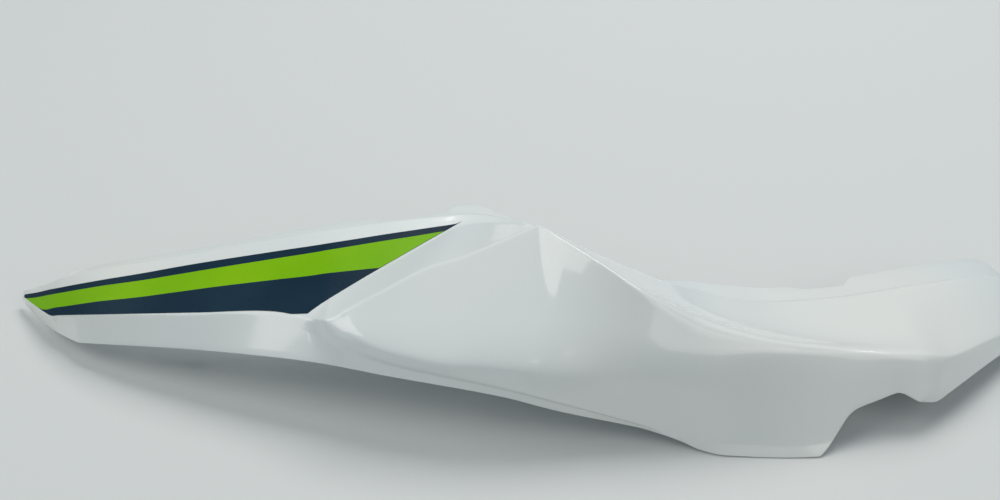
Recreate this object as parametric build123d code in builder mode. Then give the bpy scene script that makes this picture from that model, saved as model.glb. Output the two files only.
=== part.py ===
from build123d import *
import math
import os

# One side panel of a motorcycle tail, injection moulded in ABS and painted, with a printed
# film stuck to its upper flank. It lies on a floor with its outer face up: X runs from the
# tail tip (-) to the nose (+), Y runs to the seat side, Z is up. Sizes are millimetres.

# The moulded wall and how tightly its creases are rounded, as a reach along each flat
wall = 2.5
joggle_drop = 1.8
joggle_run = 2.0
flange_fall = 0.1
seat_round = 2.5
valley_round = 1.2
scoop_round = 14.0
scoop_start = -40.0
scoop_full = 60.0
upper_round = 2.0
soft_upper_round = 15.0
upper_soft_start = 50.0
upper_soft_full = 150.0
belly_round = 26.0
lower_round = 4.0
round_share = 0.4
crease_strip = 2.0
strip_place = 0.25
crease_end = -143.0
bulge_start = -128.0

# The step under the lower crease: how far down it sits, how deep it is and where it runs
tuck_place = 0.35
plain_place = 0.26
tuck_depth = 1.2
tuck_in = (-155.0, -110.0)
tuck_out = (60.0, 72.0)

# How finely the section is repeated along the panel, and where the closed tips begin
tail_end = -353.0
nose_end = 351.0
tip_length = 9.0
tail_station = tail_end + tip_length
nose_station = nose_end - tip_length
station_runs = [
    (tail_station, 11.5), (-298, 14.4), (-154, 6), (-106, 13), (-2, 11.2), (54, 8), (110, 16),
    (206, 9), (251, 15.2),
]
edge_pitch = 14.0

# Feature lines of the outer face, each a few (x, y, z) points from the tail to the nose
bottom_edge = [
    (-354, 62, 3), (-329, 34.8, 6), (-299, 9.4, 13.4), (-290, 5.4, 15.8), (-258, -5.9, 24),
    (-210, -20, 33), (-139, -40.1, 42), (-91, -51.7, 41), (-26, -62.2, 35), (9, -66.1, 26.6),
    (56, -66.9, 14), (70, -69.2, 10.4), (82, -70.7, 5.8), (92, -73.4, 2.2), (107, -76.7, 0.9),
    (163, -77.5, 0.9), (190, -72, 4.5), (221, -52.3, 16), (229, -49.6, 17.4), (236, -48.7, 17.5),
    (246, -41.6, 18), (284, -10.3, 15.5), (354, 50, 3),
]
lower_crease = [
    (-354, 62, 9), (-321, 28.9, 19), (-314, 26.1, 21.6), (-280, 12.3, 34), (-210, -4.6, 50),
    (-165, -12, 57.3), (-141, -21.5, 59.2), (-127, -34, 59.2), (-113, -42.6, 57.5), (-89, -50.9, 52),
    (-26, -63.3, 44), (9, -67.7, 36), (56, -68.2, 18), (82, -70.5, 8), (107, -72, 7),
    (163, -72, 7), (214, -56, 17), (228, -50.8, 23), (236, -47, 23), (249, -36, 23),
    (279, -12, 19), (354, 50, 5),
]
upper_crease = [
    (-150, -15, 60), (-141, -18.4, 61.6), (-128, -28.5, 65.5), (-116, -24.5, 70), (-97, -16.1, 76),
    (-71, -2.5, 83), (-50, 1.8, 87.8), (-9, 15.6, 99), (-2, 17, 101), (10, 4.9, 100.4),
    (31, -12, 96.4), (53, -27, 89.4), (78, -34.4, 79.6), (127, -39.5, 62), (177, -36.1, 50),
    (228, -33.3, 43), (249, -26, 36), (279, -4, 27.5), (354, 51, 7),
]
valley = [
    (-150, -13, 60.6), (-141, -15, 61.9), (-70, 36.5, 74), (-52, 49, 77), (-26, 48, 80),
    (10, 27, 85.5), (31, 10, 80.5), (53, -4, 73), (97, -15, 57), (127, -23, 53),
    (177, -24, 46), (228, -17, 40.5), (249, -3, 35.5), (314, 36, 21), (354, 53, 8),
]
seat_crease = [
    (-354, 65, 11), (-337, 59.5, 20), (-315, 53.5, 33), (-286, 48, 44), (-246, 44.7, 54),
    (-154, 47.5, 72), (-106, 54.5, 76), (-62, 60, 78), (-42, 61.7, 78), (-18, 54.2, 79),
    (-5, 47.6, 79.4), (12, 42, 75.4), (37, 33, 66.6), (63, 28, 57), (78, 26.2, 51),
    (98, 19.7, 49), (115, 13.2, 48), (139, 12.9, 45), (165, 15.5, 44), (195, 22, 42),
    (250, 40, 37.5), (301, 57, 30), (326, 59, 22), (354, 55, 9),
]

# The belly of the bulge: how far down from the upper crease it lies, and how far out
belly_line = [
    (-150, 0.5, 0), (-126, 0.5, 0.5), (-105, 0.8, 3.5), (-90, 0.88, 5.5), (-60, 0.92, 8),
    (-40, 0.88, 10), (0, 0.81, 11), (20, 0.72, 10.6), (40, 0.61, 10.2), (60, 0.51, 9.5), (95, 0.37, 7),
    (115, 0.25, 5.3), (130, 0.17, 4), (160, 0.1, 3), (200, 0.07, 2.4), (215, 0.11, 2.2), (240, 0.2, 1),
    (354, 0.3, 0),
]

# The flange beyond the seat crease: its width over each run, as (from x, to x, from, to)
flange_reach = 30.0
flange_runs = [
    (-354, -318, 0.6, 0.6), (-314, -109, 8.2, 9.5), (-102, -62, 2.0, 5.0), (-56, -40, 14.8, 15.8),
    (-18, -6, 2.9, 1.5), (4, 72, 0.8, 0.8), (94, 108, 10.5, 15.5), (120, 160, 18.5, 17.9),
    (170, 198, 14.4, 14.2), (203, 300, 22.4, 25.0), (330, 353, 0.6, 0.6),
]

# How far the space behind the wall and the cutters reach beyond the panel
clear_below = -30.0
clear_above = 150.0
clear_side = 130.0

# The notch in the side wall, between the foot tab and the bump, in plan
notch_outline = [
    (163.5, -77.5), (169, -74.5), (175, -67.5), (181.5, -60.5), (187, -57.7), (211, -50),
    (215, -50), (228, -52),
]
notch_corners = (-76.0, -49.0)
notch_round = 3.0

# The screw lug that stands up from the nose, folded along the seat crease
lug_thickness = 3.0
lug_fold_start = 350.0
lug_fold_end = 319.0
lug_slope = 47.0
lug_hole_along = 22.0
lug_hole_up = 11.0
lug_radius = 10.0
lug_hole = 8.0
lug_root = 1.0

# The box bracket behind the tail's lower flank, open towards the frame, with a dowel hole
bracket_x = -227.0
bracket_width = 29.0
bracket_front = 5.0
bracket_depth = 15.0
bracket_floor = 15.0
bracket_wall = 2.2
bracket_hole = 6.0

# The two tabs that turn in from the bottom edge: a hook with an open slot and a plain one
tab_thickness = 2.2
tab_turn = -38.0
tab_root_in = 2.0
tab_root_up = 1.4
hook_x = -65.0
hook_width = 23.0
hook_length = 12.0
hook_slot = 2.0
hook_slot_depth = 12.0
hook_slot_place = 0.6
hook_corner = 2.5
small_tab_x = -171.0
small_tab_width = 13.5
small_tab_length = 8.0
small_tab_corner = 1.5

# The printed film: its upper edge below the seat crease and its lower edge past the valley,
# as (x, distance, distance), the gap under it and its thickness
film_start = -352.0
film_end = -56.0
film_edges = [
    (-353, 1.2, 3.0), (-344, 2.6, 3.0), (-284, 8, 3.0), (-191, 11, 3.0), (-160, 11.7, 3.0),
    (-154, 11.8, 2.1), (-148, 11.9, 0.8), (-142, 12.1, -1.0), (-136, 12.2, -1.6), (-112, 12.6, -1.5),
    (-100, 12.6, -2.7), (-60, 10.9, -2.9), (-50, 10.5, -2.2),
]
film_gap = 0.1
film_thickness = 0.25


def along(rail, x):
    """Point (y, z) of a feature line at x: a cubic through its points, level with its chords."""
    last = len(rail) - 1
    i = max(0, min(last - 1, sum(1 for p in rail if p[0] <= x) - 1))
    a, b = rail[i], rail[i + 1]
    before, after = rail[max(i - 1, 0)], rail[min(i + 2, last)]
    span = b[0] - a[0]
    t = (x - a[0]) / span
    point = []
    for k in (1, 2):
        leave = (b[k] - before[k]) / (b[0] - before[0]) * span
        arrive = (after[k] - a[k]) / (after[0] - a[0]) * span
        point.append(
            a[k] * (2 * t**3 - 3 * t**2 + 1) + leave * (t**3 - 2 * t**2 + t)
            + b[k] * (3 * t**2 - 2 * t**3) + arrive * (t**3 - t**2)
        )
    return Vector(point[0], point[1])


def blend(x, start, end):
    """Eases from 0 at start to 1 at end."""
    t = max(0.0, min(1.0, (x - start) / (end - start)))
    return t * t * (3 - 2 * t)


def outer_corners(x):
    """Corners of the outer face at x, from the free end of the seat flange to the bottom edge."""
    seat = along(seat_crease, x)
    foot = seat + Vector(joggle_run, -joggle_drop)
    free_end = foot + Vector(flange_reach, -flange_fall * flange_reach)
    low = along(lower_crease, x)
    bottom = along(bottom_edge, x)
    up_flank = (seat - low).normalized()
    split = blend(x, crease_end, bulge_start)
    dip = (low + up_flank * 2 * crease_strip) * (1 - split) + along(valley, x) * split
    crest = (low + up_flank * crease_strip) * (1 - split) + along(upper_crease, x) * split
    down = low - crest
    place = along(belly_line, x)
    belly = crest + down * place.X + Vector(down.Y, -down.X).normalized() * place.Y
    belly = (crest + down * strip_place) * (1 - split) + belly * split
    fall = bottom - low
    depth = tuck_depth * blend(x, *tuck_in) * (1 - blend(x, *tuck_out))
    share = plain_place + (tuck_place - plain_place) * depth / tuck_depth
    tuck = low + fall * share + Vector(-fall.Y, fall.X).normalized() * depth
    return [free_end, foot, seat, dip, crest, belly, low, tuck, bottom]


def inset(corners, depth):
    """The same corners at a depth inside the skin, with the bottom rim left level."""
    normals = []
    for a, b in zip(corners, corners[1:]):
        run = (b - a).normalized()
        normals.append(Vector(-run.Y, run.X))
    inside = [corners[0] + normals[0] * depth]
    for corner, n1, n2 in zip(corners[1:-1], normals, normals[1:]):
        bisector = (n1 + n2).normalized()
        inside.append(corner + bisector * (depth / max(bisector.dot(n1), 0.5)))
    steepness = max(abs(normals[-1].X), 0.5)
    inside.append(corners[-1] + Vector(depth / steepness, 0))
    return inside


def profile(corners, x):
    """Points of one skin at x: three on each rounded crease, one at the foot and the tuck."""
    front = blend(x, scoop_start, scoop_full)
    softness = blend(x, upper_soft_start, upper_soft_full)
    rounds = [
        0, seat_round, valley_round + (scoop_round - valley_round) * front,
        upper_round + (soft_upper_round - upper_round) * softness, belly_round, lower_round, 0,
    ]
    points = [corners[0]]
    for corner, back, ahead, reach in zip(corners[1:], corners, corners[2:], rounds):
        before = back - corner
        after = ahead - corner
        before = corner + before.normalized() * min(reach, round_share * before.length)
        after = corner + after.normalized() * min(reach, round_share * after.length)
        points += [before, (before + corner * 2 + after) / 4, after] if reach else [corner]
    return points + [corners[-1]]


def long_solid(xs, rings):
    """A solid whose closed section at each x is a ring of points, with smooth edges along X."""
    rails = [
        Edge.make_spline([Vector(x, p.X, p.Y) for x, p in zip(xs, row)], parameters=xs)
        for row in zip(*rings)
    ]
    faces = [Face.make_surface_from_curves(a, b) for a, b in zip(rails, rails[1:] + rails[:1])]
    for x, ring in ((xs[0], rings[0]), (xs[-1], rings[-1])):
        faces.append(Face(Wire.make_polygon([Vector(x, p.X, p.Y) for p in ring], close=True)))
    return Solid(Shell(faces))


def spread(start, end, pitch):
    """Places from start to end, about a pitch apart."""
    count = max(1, round((end - start) / pitch))
    return [start + (end - start) * i / count for i in range(count + 1)]


def edge_point(run, x):
    """Plan point of the flange's free edge at x in one of its runs."""
    start, end, first, last = run
    width = first + (last - first) * (x - start) / (end - start)
    return (x, along(seat_crease, x).X + width)


# The space under the middle of the wall, which trims what is moulded behind it
stations = [nose_station]
for start, pitch in station_runs[::-1]:
    stations = spread(start, stations[0], pitch)[:-1] + stations
under_rings = []
for x in stations:
    middle = profile(inset(outer_corners(x), wall / 2), x)[2:]
    start, end = Vector(middle[0].X, clear_below), Vector(middle[-1].X, clear_below)
    under_rings.append([start] + middle + [end])
under_panel = long_solid(stations, under_rings)

with BuildPart() as bracket:
    with Locations((bracket_x, bracket_front, bracket_floor)):
        Box(bracket_width, bracket_depth, clear_above, align=(Align.CENTER, Align.MIN, Align.MIN))
    with Locations((bracket_x, bracket_front + bracket_wall, bracket_floor + bracket_wall)):
        Box(
            bracket_width - 2 * bracket_wall, bracket_depth, clear_above,
            align=(Align.CENTER, Align.MIN, Align.MIN), mode=Mode.SUBTRACT,
        )
    with Locations((bracket_x, bracket_front + bracket_depth / 2, bracket_floor)):
        Cylinder(bracket_hole / 2, 2 * bracket_floor, mode=Mode.SUBTRACT)
    add(under_panel, mode=Mode.INTERSECT)

fold_start, fold_end = (
    Vector(x, along(seat_crease, x).X, along(seat_crease, x).Y) for x in (lug_fold_start, lug_fold_end)
)
fold = (fold_end - fold_start).normalized()
upward = Vector(0, math.cos(math.radians(lug_slope)), math.sin(math.radians(lug_slope)))
lug_plane = Plane(origin=fold_start, x_dir=fold, z_dir=fold.cross(upward))
with BuildPart() as nose_lug:
    with BuildSketch(lug_plane):
        with Locations((lug_hole_along, lug_hole_up)):
            Circle(lug_radius)
        Rectangle((fold_end - fold_start).length, lug_root, align=(Align.MIN, Align.CENTER))
        make_hull()
        with Locations((lug_hole_along, lug_hole_up)):
            Circle(lug_hole / 2, mode=Mode.SUBTRACT)
    extrude(amount=lug_thickness / 2, both=True)


def tab_plane(x):
    """Plane of a turned-in tab, with its origin on the bottom rim and its Y along the tab."""
    rim = along(bottom_edge, x)
    turn = math.radians(tab_turn)
    root = (x, rim.X + tab_root_in, rim.Y + tab_root_up)
    return Plane(origin=root, x_dir=(1, 0, 0), z_dir=(0, -math.sin(turn), math.cos(turn)))


with BuildPart() as hook_tab:
    with BuildSketch(tab_plane(hook_x)):
        Rectangle(hook_width, hook_length, align=(Align.CENTER, Align.MIN))
        fillet(vertices().group_by(Axis.Y)[-1], hook_corner)
    extrude(amount=tab_thickness / 2, both=True)
    with BuildSketch(tab_plane(hook_x)):
        with Locations((hook_width / 2, hook_length * hook_slot_place)):
            Rectangle(hook_slot_depth, hook_slot, align=(Align.MAX, Align.CENTER))
    extrude(amount=tab_thickness, both=True, mode=Mode.SUBTRACT)

with BuildPart() as small_tab:
    with BuildSketch(tab_plane(small_tab_x)):
        Rectangle(small_tab_width, small_tab_length, align=(Align.CENTER, Align.MIN))
        fillet(vertices().group_by(Axis.Y)[-1], small_tab_corner)
    extrude(amount=tab_thickness / 2, both=True)

with BuildPart() as fairing_panel:
    skins = [profile(outer_corners(x), x) for x in stations]
    linings = [profile(inset(outer_corners(x), wall), x) for x in stations]
    add(long_solid(stations, [skin + lining[::-1] for skin, lining in zip(skins, linings)]))
    # The tail tip and the nose tip are closed and run out to a small blunt end
    for ends in ((tail_station, tail_end), (nose_station, nose_end)):
        for x in ends:
            with BuildSketch(Plane.YZ.offset(x)):
                with BuildLine():
                    Polyline([(p.X, p.Y) for p in profile(outer_corners(x), x)[2:]], close=True)
                make_face()
        loft(ruled=True)
    # The free edge of the seat flange steps in and out along the panel
    with BuildSketch(Plane.XY.offset(clear_below)):
        with BuildLine():
            ends = []
            for run in flange_runs:
                line = Spline([edge_point(run, x) for x in spread(run[0], run[1], edge_pitch)])
                ends += [line @ 0, line @ 1]
            for a, b in zip(ends[1:-1:2], ends[2:-1:2]):
                Line(a, b)
            Polyline(ends[-1], (ends[-1].X, clear_side), (ends[0].X, clear_side), ends[0])
        make_face()
    extrude(amount=clear_above, mode=Mode.SUBTRACT)
    # The side wall is notched between the foot tab and the bump
    with BuildSketch(Plane.XY.offset(clear_below)):
        with BuildLine():
            first, last = notch_outline[0][0], notch_outline[-1][0]
            Polyline([(first, -clear_side)] + notch_outline + [(last, -clear_side)], close=True)
        make_face()
        fillet(vertices().filter_by_position(Axis.Y, *notch_corners), notch_round)
    extrude(amount=clear_above, mode=Mode.SUBTRACT)
    for feature in (bracket, nose_lug, hook_tab, small_tab):
        add(feature.part)
fairing_panel.part.label = "fairing_panel"



def film_ring(seat, dip, x):
    """The film's section at x, on the flank between two corners of the panel."""
    run = (dip - seat).normalized()
    out = Vector(run.Y, -run.X)
    edges = along(film_edges, x)
    top = seat + run * edges.X + out * film_gap
    base = dip + run * edges.Y + out * film_gap
    return [top, top + out * film_thickness, base + out * film_thickness, base]


with BuildPart() as side_film:
    film_stations = [x for x in stations if x < film_end] + [film_end]
    add(long_solid(film_stations, [film_ring(*outer_corners(x)[2:4], x) for x in film_stations]))
    # Its tip follows the straight run of the panel's closed tail tip
    tip_run = (tail_station - film_start) / (tail_station - tail_end)
    flat, sharp = outer_corners(tail_station)[2:4], outer_corners(tail_end)[2:4]
    tip = [a * (1 - tip_run) + b * tip_run for a, b in zip(flat, sharp)]
    for x, (seat, dip) in ((tail_station, flat), (film_start, tip)):
        with BuildSketch(Plane.YZ.offset(x)):
            with BuildLine():
                Polyline([(p.X, p.Y) for p in film_ring(seat, dip, x)], close=True)
            make_face()
    loft(ruled=True)
side_film.part.label = "side_film"

os.makedirs("parts", exist_ok=True)
export_step(fairing_panel.part, "parts/fairing_panel.step")
export_step(side_film.part, "parts/side_film.step")
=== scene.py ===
import math

import bmesh
import bpy
from mathutils import Matrix, Vector


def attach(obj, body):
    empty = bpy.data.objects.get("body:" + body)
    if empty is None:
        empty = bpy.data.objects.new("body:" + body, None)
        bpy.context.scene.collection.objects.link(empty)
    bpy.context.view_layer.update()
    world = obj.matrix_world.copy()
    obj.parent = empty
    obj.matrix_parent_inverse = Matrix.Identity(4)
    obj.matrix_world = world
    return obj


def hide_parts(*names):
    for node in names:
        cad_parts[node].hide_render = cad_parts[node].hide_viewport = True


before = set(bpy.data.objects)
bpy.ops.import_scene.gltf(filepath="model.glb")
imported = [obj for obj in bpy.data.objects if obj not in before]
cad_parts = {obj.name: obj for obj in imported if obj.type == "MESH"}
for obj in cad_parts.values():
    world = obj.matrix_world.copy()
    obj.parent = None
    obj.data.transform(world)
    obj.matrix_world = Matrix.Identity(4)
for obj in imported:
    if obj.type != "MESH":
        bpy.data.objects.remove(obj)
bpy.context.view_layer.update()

# ---- The moulded shell ----
# The panel is one injection moulding in ABS, 2.5 mm thick, drawn from five lines that run from
# the tail tip to the nose: bottom edge, lower crease, ridge, valley and seat crease. The outer
# face is painted pearl white under clear coat, the back is left as it leaves the mould.
MM = 0.001

# The five lines, as (x, y, z) in millimetres
bottom_edge = [
    (-354, 62, 3), (-329, 34.8, 6), (-299, 9.4, 13.4), (-290, 5.4, 15.8), (-258, -5.9, 24),
    (-210, -20, 33), (-139, -40.1, 42), (-91, -51.7, 41), (-26, -62.2, 35), (9, -66.1, 26.6),
    (56, -66.9, 14), (70, -69.2, 10.4), (82, -70.7, 5.8), (92, -73.4, 2.2), (107, -76.7, 0.9),
    (163, -77.5, 0.9), (190, -72, 4.5), (221, -52.3, 16), (229, -49.6, 17.4), (236, -48.7, 17.5),
    (246, -41.6, 18), (284, -10.3, 15.5), (354, 50, 3),
]
lower_crease = [
    (-354, 62, 9), (-321, 28.9, 19), (-314, 26.1, 21.6), (-280, 12.3, 34), (-210, -4.6, 50),
    (-165, -12, 57.3), (-141, -21.5, 59.2), (-127, -34, 59.2), (-113, -42.6, 57.5),
    (-89, -50.9, 52), (-26, -63.3, 44), (9, -67.7, 36), (56, -68.2, 18), (82, -70.5, 8),
    (107, -72, 7), (163, -72, 7), (214, -56, 17), (228, -50.8, 23), (236, -47, 23),
    (249, -36, 23), (279, -12, 19), (354, 50, 5),
]
ridge = [
    (-150, -15, 60), (-141, -18.4, 61.6), (-128, -28.5, 65.5), (-116, -24.5, 70),
    (-97, -16.1, 76), (-71, -2.5, 83), (-50, 1.8, 87.8), (-9, 15.6, 99), (-2, 17, 101),
    (10, 4.9, 100.4), (31, -12, 96.4), (53, -27, 89.4), (78, -34.4, 79.6), (127, -39.5, 62),
    (177, -36.1, 50), (228, -33.3, 43), (249, -26, 36), (279, -4, 27.5), (354, 51, 7),
]
valley = [
    (-150, -13, 60.6), (-141, -15, 61.9), (-70, 36.5, 74), (-52, 49, 77), (-26, 48, 80),
    (10, 27, 85.5), (31, 10, 80.5), (53, -4, 73), (97, -15, 57), (127, -23, 53),
    (177, -24, 46), (228, -17, 40.5), (249, -3, 35.5), (314, 36, 21), (354, 53, 8),
]
seat_crease = [
    (-354, 65, 11), (-337, 59.5, 20), (-315, 53.5, 33), (-286, 48, 44), (-246, 44.7, 54),
    (-154, 47.5, 72), (-106, 54.5, 76), (-62, 60, 78), (-42, 61.7, 78), (-18, 54.2, 79),
    (-5, 47.6, 79.4), (12, 42, 75.4), (37, 33, 66.6), (63, 28, 57), (78, 26.2, 51),
    (98, 19.7, 49), (115, 13.2, 48), (139, 12.9, 45), (165, 15.5, 44), (195, 22, 42),
    (250, 40, 37.5), (301, 57, 30), (326, 59, 22), (354, 55, 9),
]
# The shoulder's belly as (x, its place down the flank from the ridge, how far it swells out)
belly_line = [
    (-150, 0.5, 0), (-126, 0.5, 0.5), (-105, 0.8, 3.5), (-90, 0.88, 5.5), (-60, 0.92, 8),
    (-40, 0.88, 10), (0, 0.81, 11), (20, 0.72, 10.6), (40, 0.61, 10.2), (60, 0.51, 9.5),
    (95, 0.37, 7), (115, 0.25, 5.3), (130, 0.17, 4), (160, 0.1, 3), (200, 0.07, 2.4),
    (215, 0.11, 2.2), (240, 0.2, 1), (354, 0.3, 0),
]
# The runs of the seat flange's free edge as (from x, to x, width there, width there)
flange_runs = [
    (-354, -318, 0.6, 0.6), (-314, -109, 8.2, 9.5), (-102, -62, 2.0, 5.0), (-56, -40, 14.8, 15.8),
    (-18, -6, 2.9, 1.5), (4, 72, 0.8, 0.8), (94, 108, 10.5, 15.5), (120, 160, 18.5, 17.9),
    (170, 198, 14.4, 14.2), (203, 297, 22.4, 24.9), (300, 308, 24.5, 23.0), (322, 353, 0.6, 0.6),
]
# The notch in the side wall as (x, what it takes off the painted skin, off the lining), both
# measured up along the wall from the bottom edge
notch_cut = [
    (159, 0, 0), (162, 0, 0), (166, 3.4, 1.2), (170, 8.4, 6.1), (175, 15.4, 13.3),
    (180, 21.4, 19.2), (185, 23.8, 21.6), (190, 23.8, 21.6), (195, 22.7, 20.6),
    (200, 21.2, 19.2), (205, 19.4, 17.6), (208, 18.2, 16.6), (211, 16.7, 15.2),
    (213, 15, 13.5), (215, 13.1, 11.7), (217, 11, 9.5), (219, 9, 7.6), (222, 6, 5),
    (225, 3.2, 3.4), (228, 1, 1.2), (231, 0, 0.1), (234, 0, 0),
]
wall = 2.5
rim_round = 0.7
# The step down to the seat flange, and how far the flange could reach and falls on its way
joggle_drop, joggle_run = 1.8, 2.0
flange_reach, flange_fall = 30.0, 0.1
# The fold between flank and lower facet: a strip along the tail, which opens into the shoulder
crease_strip, strip_place = 2.0, 0.25
crease_end, bulge_start = -143.0, -128.0
# The lower facet's tuck under the shoulder: its place on the facet, its depth and its ends
tuck_place, plain_place, tuck_depth = 0.35, 0.26, 1.2
tuck_from, tuck_full, tuck_fades, tuck_gone = -155, -110, 60, 72
# The solid tips, and where the hollow between them starts and ends
tail_end, tail_station = -353.0, -344.0
nose_station, nose_end = 342.0, 351.0


def along(rail, x):
    """The values of one of the panel's lines at x, on a smooth curve through its points."""
    last = len(rail) - 1
    i = max(0, min(last - 1, sum(1 for p in rail if p[0] <= x) - 1))
    a, b = rail[i], rail[i + 1]
    before, after = rail[max(i - 1, 0)], rail[min(i + 2, last)]
    span = b[0] - a[0]
    t = (x - a[0]) / span
    point = []
    for k in range(1, len(a)):
        leave = (b[k] - before[k]) / (b[0] - before[0]) * span
        arrive = (after[k] - a[k]) / (after[0] - a[0]) * span
        point.append(
            a[k] * (2 * t**3 - 3 * t**2 + 1) + leave * (t**3 - 2 * t**2 + t)
            + b[k] * (3 * t**2 - 2 * t**3) + arrive * (t**3 - t**2)
        )
    return Vector(point)


def ease(x, start, end):
    """Runs smoothly from 0 at start to 1 at end."""
    t = max(0.0, min(1.0, (x - start) / (end - start)))
    return t * t * (3 - 2 * t)


def outward(run):
    """The normal of a stretch of the section that points out of the painted face."""
    return Vector((-run.y, run.x)).normalized() * -1


def face_corners(x):
    """The section's corners on the painted face, from the seat flange to the bottom edge."""
    seat = along(seat_crease, x)
    foot = seat + Vector((joggle_run, -joggle_drop))
    free_end = foot + Vector((flange_reach, -flange_fall * flange_reach))
    low, bottom = along(lower_crease, x), along(bottom_edge, x)
    up_flank = (seat - low).normalized()
    split = ease(x, crease_end, bulge_start)
    dip = (low + up_flank * 2 * crease_strip) * (1 - split) + along(valley, x) * split
    crest = (low + up_flank * crease_strip) * (1 - split) + along(ridge, x) * split
    down = low - crest
    place, out = along(belly_line, x)
    belly = crest + down * place + outward(down) * out
    belly = (crest + down * strip_place) * (1 - split) + belly * split
    fall = bottom - low
    depth = tuck_depth * ease(x, tuck_from, tuck_full) * (1 - ease(x, tuck_fades, tuck_gone))
    share = plain_place + (tuck_place - plain_place) * depth / tuck_depth
    tuck = low + fall * share - outward(fall) * depth
    return [free_end, foot, seat, dip, crest, belly, low, tuck, bottom]


def set_in(corners, depth):
    """The same corners a depth inside the wall, with the bottom rim level."""
    normals = [outward(b - a) * -1 for a, b in zip(corners, corners[1:])]
    inside = [corners[0] + normals[0] * depth]
    for corner, n1, n2 in zip(corners[1:-1], normals, normals[1:]):
        bisector = (n1 + n2).normalized()
        inside.append(corner + bisector * (depth / max(bisector.dot(n1), 0.5)))
    inside.append(corners[-1] + Vector((depth / max(abs(normals[-1].x), 0.5), 0)))
    return inside


def arc(before, corner, after, count):
    """Points of a rounded corner, both ends included."""
    return [
        before * (1 - t)**2 + corner * 2 * t * (1 - t) + after * t**2
        for t in (i / count for i in range(count + 1))
    ]


# How many steps each flat and each rounded corner of a skin has, from the flange down
flat_steps = [4, 2, 12, 6, 10, 5, 2, 4]
round_steps = [4, 6, 8, 10, 16, 8, 4]


def skin(corners, x):
    """One skin of the section at x as a run of points, rounded at its creases."""
    foot_round, seat_round, belly_round, low_round, tuck_round = 0.8, 2.5, 26.0, 4.0, 0.8
    valley_round = 1.2 + 12.8 * ease(x, -40, 60)
    ridge_round = 2.0 + 13.0 * ease(x, 38, 112)
    reaches = [
        foot_round, seat_round, valley_round, ridge_round, belly_round, low_round, tuck_round
    ]
    points = [corners[0]]
    for i, reach in enumerate(reaches, start=1):
        back, ahead = corners[i - 1] - corners[i], corners[i + 1] - corners[i]
        before = corners[i] + back.normalized() * min(reach, 0.4 * back.length)
        after = corners[i] + ahead.normalized() * min(reach, 0.4 * ahead.length)
        start, steps = points[-1], flat_steps[i - 1]
        points += [start.lerp(before, k / steps) for k in range(1, steps)]
        points += arc(before, corners[i], after, round_steps[i - 1])
    start, steps = points[-1], flat_steps[-1]
    return points + [start.lerp(corners[-1], k / steps) for k in range(1, steps + 1)]


def trimmed(points, high, back):
    """The run cut off at y = high and shortened by a length at its lower end."""
    points = list(points)
    first = next(i for i, p in enumerate(points) if p.x <= high)
    if first:
        a, b = points[first - 1], points[first]
        points[:first] = [a.lerp(b, (a.x - high) / (a.x - b.x))] * first
    last = len(points) - 1
    while back > (points[last] - points[last - 1]).length:
        back -= (points[last] - points[last - 1]).length
        last -= 1
    end = points[last] + (points[last - 1] - points[last]).normalized() * back
    points[last:] = [end] * (len(points) - last)
    return points


def flange_limit(x):
    """How far out the seat flange reaches at x, with the steps of its free edge softened."""
    knots = [(p, w) for a, b, wa, wb in flange_runs for p, w in ((a, wa), (b, wb))]
    total = 0.0
    for shift in (-1.2, -0.4, 0.4, 1.2):
        place = min(max(x + shift, flange_runs[0][0]), flange_runs[-1][1])
        i = max(0, min(len(knots) - 2, sum(1 for k in knots if k[0] <= place) - 1))
        (xa, wa), (xb, wb) = knots[i], knots[i + 1]
        total += wa + (wb - wa) * (place - xa) / (xb - xa)
    return along(seat_crease, x).x + total / 4


rim_steps = 3


def rim(last, edge, far, next_far):
    """The rounded rim between the end of one skin and the start of the other."""
    across = far - edge
    reach = min(rim_round, 0.45 * across.length)
    first = arc(last, edge, edge + across.normalized() * reach, rim_steps)
    second = arc(far - across.normalized() * reach, far, next_far, rim_steps)
    return first[1:] + second[:-1]


def pull_back(points, reach):
    """The run with its first point moved in along it by a reach, to leave room for the rim."""
    points = list(points)
    edge = points[0]
    i = next((k for k, p in enumerate(points) if (p - edge).length > reach), len(points) - 1)
    start = points[i - 1]
    step = points[i] - start
    moved = start + step.normalized() * max(0.0, reach - (start - edge).length)
    for j in range(i):
        points[j] = moved
    return points, edge


def section(x, hollow=True):
    """The closed section of the moulding at x, and where on it the paint ends."""
    corners = face_corners(x)
    high = flange_limit(x)
    cut = along(notch_cut, x) if notch_cut[0][0] < x < notch_cut[-1][0] else Vector((0, 0))
    outer = trimmed(skin(corners, x), high, max(0.0, cut.x))
    if hollow:
        inner = trimmed(skin(set_in(corners, wall), x), high, max(0.0, cut.y))
    else:
        # A solid tip closes with a straight run between the painted face's two edges
        count = len(outer)
        a, b = outer[0].lerp(outer[-1], 0.08), outer[-1].lerp(outer[0], 0.08)
        inner = [a.lerp(b, k / (count - 1)) for k in range(count)]
    reach = min(rim_round, 0.3 * (outer[-1] - inner[-1]).length + 0.2)
    outer, top_edge = pull_back(outer, reach)
    upward, bottom_outer = pull_back(outer[::-1], reach)
    outer = upward[::-1]
    inner, top_inner = pull_back(inner, reach)
    upward, bottom_inner = pull_back(inner[::-1], reach)
    inner = upward[::-1]
    bottom = rim(outer[-1], bottom_outer, bottom_inner, inner[-1])
    top = rim(inner[0], top_inner, top_edge, outer[0])
    return outer + bottom + inner[::-1] + top, len(outer) + len(bottom) // 2


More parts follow.
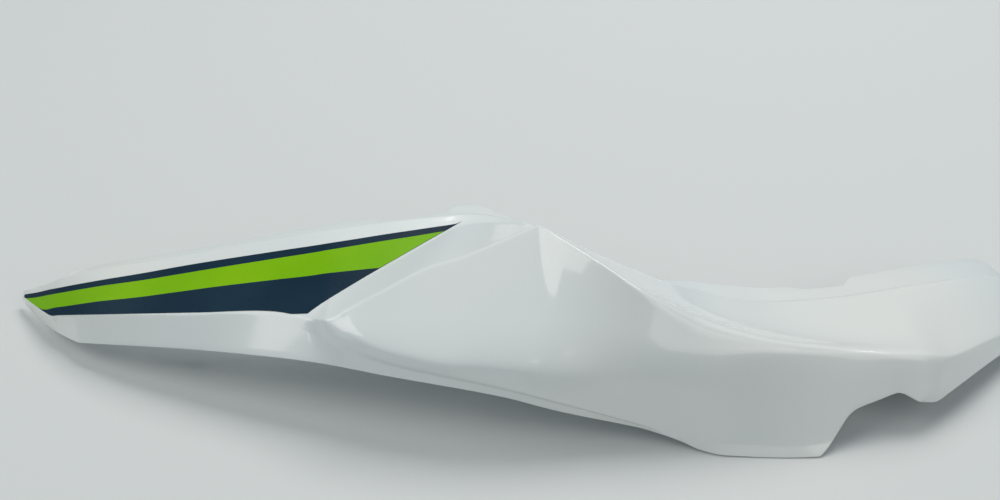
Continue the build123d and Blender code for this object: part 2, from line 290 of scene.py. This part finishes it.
def stations():
    """Where the sections stand along the panel: closer together where its edges step or bend."""
    bends = [x for run in flange_runs[1:-1] for x in run[:2]] + [163.5, 180, 216]
    bends += [-321, -299, -141, -128, -116, -2, 82, 221, 236]
    spots = set()
    x = tail_station
    while x < nose_station - 1.5:
        spots.add(round(x, 2))
        near = min(abs(x - bend) for bend in bends)
        x += 0.9 if near < 4 else 1.8 if near < 10 or 20 < x < 200 else 3.0
    spots.add(nose_station)
    return sorted(spots)


# The tips' rounding as (distance from the end, size of the section there)
tip_sizes = [(0.0, 0.45), (0.35, 0.78), (1.0, 0.94), (2.2, 1.0), (5.5, 1.0)]


def tip_section(x, size):
    """The section of a solid tip at x, drawn in towards its middle to a share of its size."""
    points = section(x, hollow=False)[0]
    centre = sum(points, Vector((0, 0))) / len(points)
    return x, [centre.lerp(p, size) for p in points]


paint_ends = section(tail_end, hollow=False)[1]
sections = [tip_section(tail_end + inset, size) for inset, size in tip_sizes]
sections.append((tail_station, section(tail_station, hollow=False)[0]))
sections += [(x, section(x)[0]) for x in stations()]
sections.append((nose_station, section(nose_station, hollow=False)[0]))
sections += [tip_section(nose_end - inset, size) for inset, size in tip_sizes[::-1]]

around = len(sections[0][1])
bare_ends = around - 2 * rim_steps - 1
shell_verts = [(x * MM, p.x * MM, p.y * MM) for x, points in sections for p in points]
shell_faces, shell_slots = [], []
for r in range(len(sections) - 1):
    for k in range(around):
        n = (k + 1) % around
        shell_faces.append(
            (r * around + k, (r + 1) * around + k, (r + 1) * around + n, r * around + n)
        )
        shell_slots.append(1 if paint_ends <= k < bare_ends else 0)
shell_faces.append(tuple(range(around)))
shell_faces.append(tuple(reversed(range((len(sections) - 1) * around, len(sections) * around))))
shell_slots += [0, 0]

shell_mesh = bpy.data.meshes.new("moulded_shell")
shell_mesh.from_pydata(shell_verts, [], shell_faces)
shell_mesh.polygons.foreach_set("material_index", shell_slots)
shell = bpy.data.objects.new("moulded_shell", shell_mesh)
bpy.context.scene.collection.objects.link(shell)


def welded(obj):
    """Merges doubled points, sets the faces outward and shades them smooth."""
    mesh = bmesh.new()
    mesh.from_mesh(obj.data)
    bmesh.ops.remove_doubles(mesh, verts=mesh.verts, dist=2e-6)
    bmesh.ops.dissolve_degenerate(mesh, edges=mesh.edges, dist=1e-6)
    bmesh.ops.recalc_face_normals(mesh, faces=mesh.faces)
    for face in mesh.faces:
        face.smooth = True
    mesh.to_mesh(obj.data)
    mesh.free()


welded(shell)


def new_finish(name):
    """A new material with its nodes, its links, its shader and the place on the object."""
    material = bpy.data.materials.new(name)
    material.use_nodes = True
    nodes, links = material.node_tree.nodes, material.node_tree.links
    return material, nodes, links, nodes["Principled BSDF"], nodes.new("ShaderNodeTexCoord")


def mottle(nodes, links, spot, scale, detail=2.0, stretch=None):
    """A noise over the object, finer with scale (cells a metre), drawn out along an axis."""
    texture = nodes.new("ShaderNodeTexNoise")
    texture.inputs["Scale"].default_value = scale
    texture.inputs["Detail"].default_value = detail
    source = spot.outputs["Object"]
    if stretch:
        mapping = nodes.new("ShaderNodeMapping")
        mapping.inputs["Scale"].default_value = stretch
        links.new(source, mapping.inputs["Vector"])
        source = mapping.outputs["Vector"]
    links.new(source, texture.inputs["Vector"])
    return texture.outputs["Fac"]


def cells(nodes, links, spot, scale):
    """A pattern of cells strewn over the object, so many to a metre."""
    texture = nodes.new("ShaderNodeTexVoronoi")
    texture.inputs["Scale"].default_value = scale
    links.new(spot.outputs["Object"], texture.inputs["Vector"])
    return texture


def tint(nodes, links, source, low, high, first, last):
    """Two colours, spread over a range of a value."""
    stops = nodes.new("ShaderNodeValToRGB")
    start, end = stops.color_ramp.elements
    start.position, start.color = low, (*first, 1)
    end.position, end.color = high, (*last, 1)
    links.new(source, stops.inputs["Fac"])
    return stops.outputs["Color"]


def speckled(nodes, links, colour, speck):
    """A colour darkened by the specks in it."""
    node = nodes.new("ShaderNodeMix")
    node.data_type, node.blend_type = "RGBA", "MULTIPLY"
    node.inputs["Factor"].default_value = 1.0
    links.new(colour, node.inputs["A"])
    links.new(speck, node.inputs["B"])
    return node.outputs["Result"]


def gloss_range(nodes, links, source, low, high):
    """A value from 0 to 1 laid over a range of roughness."""
    node = nodes.new("ShaderNodeMapRange")
    node.inputs["To Min"].default_value = low
    node.inputs["To Max"].default_value = high
    links.new(source, node.inputs["Value"])
    return node.outputs["Result"]


def relief(nodes, links, height, strength, depth, under=None):
    """A bump of a height over a surface, on top of another one."""
    bump = nodes.new("ShaderNodeBump")
    bump.inputs["Strength"].default_value = strength
    bump.inputs["Distance"].default_value = depth
    links.new(height, bump.inputs["Height"])
    if under:
        links.new(under, bump.inputs["Normal"])
    return bump.outputs["Normal"]


# Pearl paint: a white that drifts from cool to warm, with fine flakes under an orange-peel coat
pearl, nodes, links, paint, spot = new_finish("pearl_white_paint")
cool_white, warm_white = (0.775, 0.815, 0.81), (0.81, 0.825, 0.79)
flake_bright, flake_dull = (1.0, 1.0, 1.0), (0.955, 0.96, 0.965)
drift = tint(nodes, links, mottle(nodes, links, spot, 7.0, 1.0), 0.35, 0.65, cool_white, warm_white)
flakes = cells(nodes, links, spot, 1900.0).outputs["Distance"]
flake_tone = tint(nodes, links, flakes, 0.0, 0.55, flake_bright, flake_dull)
patches = mottle(nodes, links, spot, 60.0)
orange_peel = mottle(nodes, links, spot, 330.0, 1.5)
links.new(speckled(nodes, links, drift, flake_tone), paint.inputs["Base Color"])
links.new(gloss_range(nodes, links, patches, 0.30, 0.42), paint.inputs["Roughness"])
links.new(relief(nodes, links, flakes, 0.12, 0.00004), paint.inputs["Normal"])
links.new(relief(nodes, links, orange_peel, 0.06, 0.0002), paint.inputs["Coat Normal"])
paint.inputs["Metallic"].default_value = 0.0
paint.inputs["Coat Weight"].default_value = 1.0
paint.inputs["Coat Roughness"].default_value = 0.08
paint.inputs["Coat IOR"].default_value = 1.5

# Bare ABS: flow clouds drawn out along the panel, a fine grain and the marks of ejector pins
bare, nodes, links, plastic, spot = new_finish("bare_white_abs")
flow_dark, flow_light = (0.60, 0.615, 0.60), (0.66, 0.665, 0.65)
grain_dark, grain_light = (0.94, 0.94, 0.94), (1.0, 1.0, 1.0)
pins_a_metre, pin_stray, pin_edge, pin_edge_outer = 17.0, 0.35, 0.070, 0.078
sunk, level = (0.0, 0.0, 0.0), (1.0, 1.0, 1.0)
flow = mottle(nodes, links, spot, 9.0, 3.0, (0.35, 1.0, 1.0))
flow_tone = tint(nodes, links, flow, 0.3, 0.7, flow_dark, flow_light)
grain = mottle(nodes, links, spot, 2200.0, 2.0)
grain_tone = tint(nodes, links, grain, 0.3, 0.7, grain_dark, grain_light)
links.new(speckled(nodes, links, flow_tone, grain_tone), plastic.inputs["Base Color"])
links.new(gloss_range(nodes, links, flow, 0.42, 0.62), plastic.inputs["Roughness"])
pins = cells(nodes, links, spot, pins_a_metre)
pins.voronoi_dimensions = "2D"
pins.inputs["Randomness"].default_value = pin_stray
pin_marks = tint(nodes, links, pins.outputs["Distance"], pin_edge, pin_edge_outer, sunk, level)
grain_skin = relief(nodes, links, grain, 0.25, 0.00006)
links.new(relief(nodes, links, pin_marks, 0.5, 0.0003, grain_skin), plastic.inputs["Normal"])

shell_mesh.materials.append(pearl)
shell_mesh.materials.append(bare)

# ---- The lug, the tabs and the bracket ----
# They are part of the same moulding: a screw lug that stands up from the nose, a hook with an open
# slot and a plain tab that turn in from the bottom edge, and a box bracket behind the tail that
# holds a rubber dowel of the frame. Fused with the shell, they make the whole white panel.
lug_start, lug_end, lug_slope = 350.0, 319.0, 47.0
lug_along, lug_up, lug_radius, lug_hole, lug_thickness = 22.0, 11.0, 10.0, 4.0, 3.0
lug_root = 0.5
tab_turn, tab_thickness, tab_inset, tab_rise = -38.0, 2.2, 2.0, 1.4
hook_x, hook_side, hook_depth = -65.0, 11.5, 12.0
slot_end, slot_low, slot_high = -0.5, 6.2, 8.2
plain_tab_x, plain_tab_side, plain_tab_depth = -171.0, 6.75, 8.0
bracket_x, bracket_width, bracket_front, bracket_depth = -227.0, 29.0, 5.0, 15.0
bracket_floor, bracket_wall, bracket_hole = 15.0, 2.2, 3.0
floor_set_in, floor_lift = 0.8, 0.02
edge_bevel = 0.35


def rounded(corners, radii, steps=6):
    """A closed outline in a plane with each corner rounded to its radius."""
    outline = []
    for i, (corner, radius) in enumerate(zip(corners, radii)):
        corner = Vector(corner)
        back = (Vector(corners[i - 1]) - corner).normalized()
        ahead = (Vector(corners[(i + 1) % len(corners)]) - corner).normalized()
        if radius <= 0:
            outline.append(corner)
            continue
        half = math.acos(max(-1, min(1, back.dot(ahead)))) / 2
        reach = radius / math.tan(half)
        centre = corner + (back + ahead).normalized() * (radius / math.sin(half))
        a, b = corner + back * reach - centre, corner + ahead * reach - centre
        turn = math.atan2(a.x * b.y - a.y * b.x, a.dot(b))
        for k in range(steps + 1):
            angle = turn * k / steps
            outline.append(centre + Vector((
                a.x * math.cos(angle) - a.y * math.sin(angle),
                a.x * math.sin(angle) + a.y * math.cos(angle),
            )))
    return outline


def circle(x, y, radius, steps=40):
    """A round outline."""
    return [
        Vector((x + radius * math.cos(t), y + radius * math.sin(t)))
        for t in (2 * math.pi * k / steps for k in range(steps))
    ]


def plate(name, outlines, thickness, placed):
    """A moulded plate with softened edges: outlines in its plane, laid out by a matrix."""
    curve = bpy.data.curves.new(name, "CURVE")
    curve.dimensions = "2D"
    curve.fill_mode = "BOTH"
    curve.extrude = thickness / 2 - edge_bevel
    curve.bevel_depth = edge_bevel
    curve.bevel_resolution = 2
    curve.offset = -edge_bevel
    for outline in outlines:
        spline = curve.splines.new("POLY")
        spline.points.add(len(outline) - 1)
        spline.use_cyclic_u = True
        for point, p in zip(spline.points, outline):
            point.co = (p.x, p.y, 0, 1)
    drawn = bpy.data.objects.new(name, curve)
    bpy.context.scene.collection.objects.link(drawn)
    bpy.context.view_layer.update()
    cut = drawn.evaluated_get(bpy.context.evaluated_depsgraph_get())
    mesh = bpy.data.meshes.new_from_object(cut)
    bpy.data.objects.remove(drawn)
    mesh.transform(Matrix.Scale(MM, 4) @ placed)
    made = bpy.data.objects.new(name, mesh)
    bpy.context.scene.collection.objects.link(made)
    welded(made)
    return made


def upright(origin, across, up):
    """The matrix of a plane with that origin, its first axis across and its second towards up."""
    across = across.normalized()
    normal = across.cross(up).normalized()
    up = normal.cross(across)
    return Matrix((
        (across.x, up.x, normal.x, origin.x), (across.y, up.y, normal.y, origin.y),
        (across.z, up.z, normal.z, origin.z), (0, 0, 0, 1),
    ))


def on_line(rail, x):
    """A point of one of the panel's lines in space."""
    p = along(rail, x)
    return Vector((x, p.x, p.y))


# The lug: a fold along the seat crease, from which two straight sides run up to a round end
fold_start, fold_end = on_line(seat_crease, lug_start), on_line(seat_crease, lug_end)
fold_length = (fold_end - fold_start).length
slope = math.radians(lug_slope)
lug_up_slope = Vector((0, math.cos(slope), math.sin(slope)))
lug_place = upright(fold_start, fold_end - fold_start, lug_up_slope)
far = Vector((fold_length - lug_along, lug_root - lug_up))
near = Vector((-lug_along, lug_root - lug_up))
arc_start = math.atan2(far.y, far.x) + math.acos(lug_radius / far.length)
arc_end = math.atan2(near.y, near.x) - math.acos(lug_radius / near.length) + 2 * math.pi
lug_outline = [
    Vector((0, -lug_root)), Vector((fold_length, -lug_root)), Vector((fold_length, lug_root))
]
for k in range(25):
    angle = arc_start + (arc_end - arc_start) * k / 24
    lug_outline.append(Vector((
        lug_along + lug_radius * math.cos(angle), lug_up + lug_radius * math.sin(angle)
    )))
lug_outline.append(Vector((0, lug_root)))
lug_bore = circle(lug_along, lug_up, lug_hole)
screw_lug = plate("screw_lug", [lug_outline, lug_bore], lug_thickness, lug_place)


def tab_place(x):
    """The matrix of a tab that turns in from the bottom edge at x and runs along it."""
    rim_point = on_line(bottom_edge, x) + Vector((0, tab_inset, tab_rise))
    run = on_line(bottom_edge, x + 6) - on_line(bottom_edge, x - 6)
    turn = math.radians(tab_turn)
    return upright(rim_point, run, Vector((0, math.cos(turn), math.sin(turn))))


hook_outline = rounded(
    [
        (-hook_side, 0), (hook_side, 0), (hook_side, slot_low), (slot_end, slot_low),
        (slot_end, slot_high), (hook_side, slot_high),
        (hook_side, hook_depth), (-hook_side, hook_depth),
    ],
    [0, 0, 0, 0.9, 0.9, 0, 2.5, 2.5],
)
hook = plate("hook_tab", [hook_outline], tab_thickness, tab_place(hook_x))
plain_outline = rounded(
    [
        (-plain_tab_side, 0), (plain_tab_side, 0),
        (plain_tab_side, plain_tab_depth), (-plain_tab_side, plain_tab_depth),
    ],
    [0, 0, 1.5, 1.5],
)
plain_tab = plate("plain_tab", [plain_outline], tab_thickness, tab_place(plain_tab_x))


def middle_height(x, y):
    """Height of the middle of the wall over a point of the plan."""
    line = skin(set_in(face_corners(x), wall / 2), x)
    past_flange = 20
    for a, b in zip(line[past_flange:], line[past_flange + 1:]):
        if b.x <= y <= a.x:
            return a.y + (b.y - a.y) * (y - a.x) / (b.x - a.x)
    return line[-1].y


def standing_wall(name, outline, bottom, heights):
    """An upright moulded wall: an outline in plan from a flat bottom to a height at each point."""
    count = len(outline)
    verts = [(p.x * MM, p.y * MM, bottom * MM) for p in outline]
    verts += [(p.x * MM, p.y * MM, h * MM) for p, h in zip(outline, heights)]
    faces = [(k, (k + 1) % count, count + (k + 1) % count, count + k) for k in range(count)]
    faces += [tuple(reversed(range(count))), tuple(range(count, 2 * count))]
    mesh = bpy.data.meshes.new(name)
    mesh.from_pydata(verts, [], faces)
    made = bpy.data.objects.new(name, mesh)
    bpy.context.scene.collection.objects.link(made)
    welded(made)
    return made


# The bracket: a U of three walls that run up into the shell, closed below by its drilled face
left, right = bracket_x - bracket_width / 2, bracket_x + bracket_width / 2
back = bracket_front + bracket_depth
u_outline = rounded(
    [
        (left, bracket_front), (right, bracket_front), (right, back), (right - bracket_wall, back),
        (right - bracket_wall, bracket_front + bracket_wall),
        (left + bracket_wall, bracket_front + bracket_wall),
        (left + bracket_wall, back), (left, back),
    ],
    [1.0, 1.0, 0.5, 0.5, 0.6, 0.6, 0.5, 0.5], steps=4,
)
u_heights = [middle_height(p.x, p.y) for p in u_outline]
bracket_walls = standing_wall("bracket_walls", u_outline, bracket_floor, u_heights)
face_outline = rounded(
    [
        (left + floor_set_in, bracket_front + floor_set_in),
        (right - floor_set_in, bracket_front + floor_set_in),
        (right - floor_set_in, back), (left + floor_set_in, back),
    ],
    [0.5, 0.5, 0.5, 0.5], steps=4,
)
dowel_bore = circle(bracket_x, bracket_front + bracket_depth / 2, bracket_hole)
bracket_face = plate(
    "bracket_floor", [face_outline, dowel_bore], bracket_wall,
    Matrix.Translation((0, 0, bracket_floor + bracket_wall / 2 + floor_lift)),
)

features = [screw_lug, hook, plain_tab, bracket_walls, bracket_face]
for feature in features:
    feature.data.materials.append(pearl)
    feature.data.materials.append(bare)
    fuse = shell.modifiers.new(feature.name, "BOOLEAN")
    fuse.operation = "UNION"
    fuse.solver = "EXACT"
    fuse.object = feature
bpy.context.view_layer.update()
fused = shell.evaluated_get(bpy.context.evaluated_depsgraph_get())
panel_mesh = bpy.data.meshes.new_from_object(fused)
shell.modifiers.clear()
shell.data = panel_mesh
for feature in features:
    bpy.data.objects.remove(feature)
for face in panel_mesh.polygons:
    face.use_smooth = True
panel_mesh.set_sharp_from_angle(angle=math.radians(50))

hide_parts("fairing_panel")
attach(shell, "root")

# ---- The printed film ----
# One piece of printed vinyl, pressed onto the upper flank: a dark blue field with a lime band
# that narrows to both ends. It stops short of the seat crease, the valley and the lower crease.
film_start, film_corner, film_end = -350.5, -141.3, -51.0
flank_steps, border_steps = 100, 60
# As (x, how far down the flank the film starts, the lime starts, the lime ends), all measured
# from the seat crease
film_lines = [
    (-353, 3.4, 5.0, 5.0), (-346, 4.2, 7.6, 9.4), (-329, 6.2, 10.4, 20.9), (-317, 8.2, 12.4, 23.0),
    (-283, 9.6, 14.4, 26.2), (-230, 9.5, 15.9, 30.2), (-171, 11.5, 17.7, 34.9),
    (-127, 12.7, 18.5, 38.7), (-89, 11.5, 17.1, 41.0), (-63.5, 10.2, 15.3, 43.0),
    (-50, 9.6, 14.0, 44.0),
]
# The film's lower edge: at the corner and its slope towards the tail, and from the corner on
# along the valley, never nearer to the lower crease than the gap
low_start, low_slope = 67.2, 0.217
border_start, border_slope, edge_gap = 67.0, 0.65, 0.4
film_height, film_foot = 0.32, 0.02


def film_row(x):
    """The film's four lines at x, as places on the flank, and the way out of the paint."""
    corners = face_corners(x)
    seat, dip, low = corners[2], corners[3], corners[6]
    run = (dip - seat).normalized()
    edge = min((low - seat).length - edge_gap, low_start + low_slope * (x - film_corner))
    if x > film_corner:
        edge = border_start - border_slope * (x - film_corner)
    top, lime_top, lime_bottom = (min(d, edge) for d in along(film_lines, x))
    return [seat + run * d for d in (top, lime_top, lime_bottom, edge)], outward(run)


film_xs = [
    film_start + (film_corner - film_start) * k / flank_steps for k in range(flank_steps + 1)
]
film_xs += [
    film_corner + (film_end - film_corner) * k / border_steps for k in range(1, border_steps + 1)
]
film_verts, film_faces, film_inks = [], [], []
for x in film_xs:
    lines, out = film_row(x)
    film_verts.append((x * MM, *((lines[0] + out * film_foot) * MM)))
    film_verts += [(x * MM, *((p + out * film_height) * MM)) for p in lines]
    film_verts.append((x * MM, *((lines[3] + out * film_foot) * MM)))
for r in range(len(film_xs) - 1):
    for k in range(6):
        n = (k + 1) % 6
        film_faces.append((r * 6 + k, (r + 1) * 6 + k, (r + 1) * 6 + n, r * 6 + n))
        film_inks.append(1 if k == 2 else 0)
film_faces += [tuple(range(6)), tuple(reversed(range(len(film_verts) - 6, len(film_verts))))]
film_inks += [0, 0]
film_mesh = bpy.data.meshes.new("printed_film")
film_mesh.from_pydata(film_verts, [], film_faces)
film_mesh.polygons.foreach_set("material_index", film_inks)
film = bpy.data.objects.new("printed_film", film_mesh)
bpy.context.scene.collection.objects.link(film)
welded(film)
film_mesh.set_sharp_from_angle(angle=math.radians(40))


def film_ink(name, deep, light):
    """Printed vinyl under its own gloss: a fine print screen and a faint stipple of the surface."""
    material, nodes, links, ink, spot = new_finish(name)
    clouds = mottle(nodes, links, spot, 14.0, 2.0)
    cloud_tone = tint(nodes, links, clouds, 0.3, 0.7, deep, light)
    screen = mottle(nodes, links, spot, 3000.0, 0.0)
    screen_tone = tint(nodes, links, screen, 0.35, 0.65, (0.9, 0.9, 0.9), (1, 1, 1))
    patches, stipple = mottle(nodes, links, spot, 120.0), mottle(nodes, links, spot, 420.0)
    links.new(speckled(nodes, links, cloud_tone, screen_tone), ink.inputs["Base Color"])
    links.new(gloss_range(nodes, links, patches, 0.24, 0.34), ink.inputs["Roughness"])
    links.new(relief(nodes, links, stipple, 0.05, 0.0001), ink.inputs["Normal"])
    ink.inputs["Specular IOR Level"].default_value = 0.12
    ink.inputs["Coat Weight"].default_value = 0.1
    ink.inputs["Coat Roughness"].default_value = 0.1
    return material


film_mesh.materials.append(film_ink("film_dark_blue", (0.005, 0.021, 0.042), (0.010, 0.033, 0.058)))
film_mesh.materials.append(film_ink("film_lime", (0.185, 0.47, 0.0015), (0.245, 0.53, 0.002)))
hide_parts("side_film")
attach(film, "root")

# ---- The floor, the light and the camera ----
# The panel lies on matt white paper under three soft lamps: one high behind it, one to its left
# and a weak one in front to its right. Seen from below, the paper gives way to the background.
floor_reach = 6
floor_mesh = bpy.data.meshes.new("studio_floor")
floor_mesh.from_pydata(
    [
        (-floor_reach, -floor_reach, 0), (floor_reach, -floor_reach, 0),
        (floor_reach, floor_reach, 0), (-floor_reach, floor_reach, 0),
    ],
    [], [(0, 1, 2, 3)],
)
floor = bpy.data.objects.new("studio_floor", floor_mesh)
bpy.context.scene.collection.objects.link(floor)
paper, nodes, links, matt, spot = new_finish("floor_paper")
matt.inputs["Base Color"].default_value = (0.65, 0.67, 0.665, 1)
matt.inputs["Roughness"].default_value = 0.7
side, ray = nodes.new("ShaderNodeNewGeometry"), nodes.new("ShaderNodeLightPath")
clear, seen = nodes.new("ShaderNodeBsdfTransparent"), nodes.new("ShaderNodeMixShader")
below = nodes.new("ShaderNodeMath")
below.operation = "MULTIPLY"
links.new(side.outputs["Backfacing"], below.inputs[0])
links.new(ray.outputs["Is Camera Ray"], below.inputs[1])
links.new(below.outputs["Value"], seen.inputs["Fac"])
links.new(matt.outputs["BSDF"], seen.inputs[1])
links.new(clear.outputs["BSDF"], seen.inputs[2])
links.new(seen.outputs["Shader"], nodes["Material Output"].inputs["Surface"])
floor_mesh.materials.append(paper)

world = bpy.data.worlds.new("studio")
bpy.context.scene.world = world
world.use_nodes = True
world.node_tree.nodes["Background"].inputs["Color"].default_value = (0.72, 0.88, 1, 1)
world.node_tree.nodes["Background"].inputs["Strength"].default_value = 0.26


def lamp(name, place, size, power, colour):
    """A soft rectangular studio light that faces the middle of the panel."""
    data = bpy.data.lights.new(name, "AREA")
    data.shape = "RECTANGLE"
    data.size, data.size_y = size
    data.energy = power
    data.color = colour
    obj = bpy.data.objects.new(name, data)
    obj.location = place
    obj.rotation_euler = (-Vector(place)).to_track_quat("-Z", "Y").to_euler()
    bpy.context.scene.collection.objects.link(obj)


lamp("ceiling_light", (0.55, 1.25, 2.2), (1.8, 1.3), 37, (1, 0.98, 0.96))
lamp("left_light", (-2.0, -0.2, 2.2), (2.0, 1.9), 28, (1, 0.97, 0.9))
lamp("right_front_light", (1.7, -1.6, 2.2), (2.4, 1.6), 16, (1, 0.97, 0.92))

camera_down = 37
camera_data = bpy.data.cameras.new("photo_camera")
camera_data.lens = 39.6
camera_data.sensor_width = 36
camera = bpy.data.objects.new("photo_camera", camera_data)
camera.location = (-0.026, -0.5209, 0.4875)
camera.rotation_euler = (math.radians(90 - camera_down), 0, 0)
bpy.context.scene.collection.objects.link(camera)
bpy.context.scene.camera = camera
bpy.context.scene.view_settings.view_transform = "Standard"
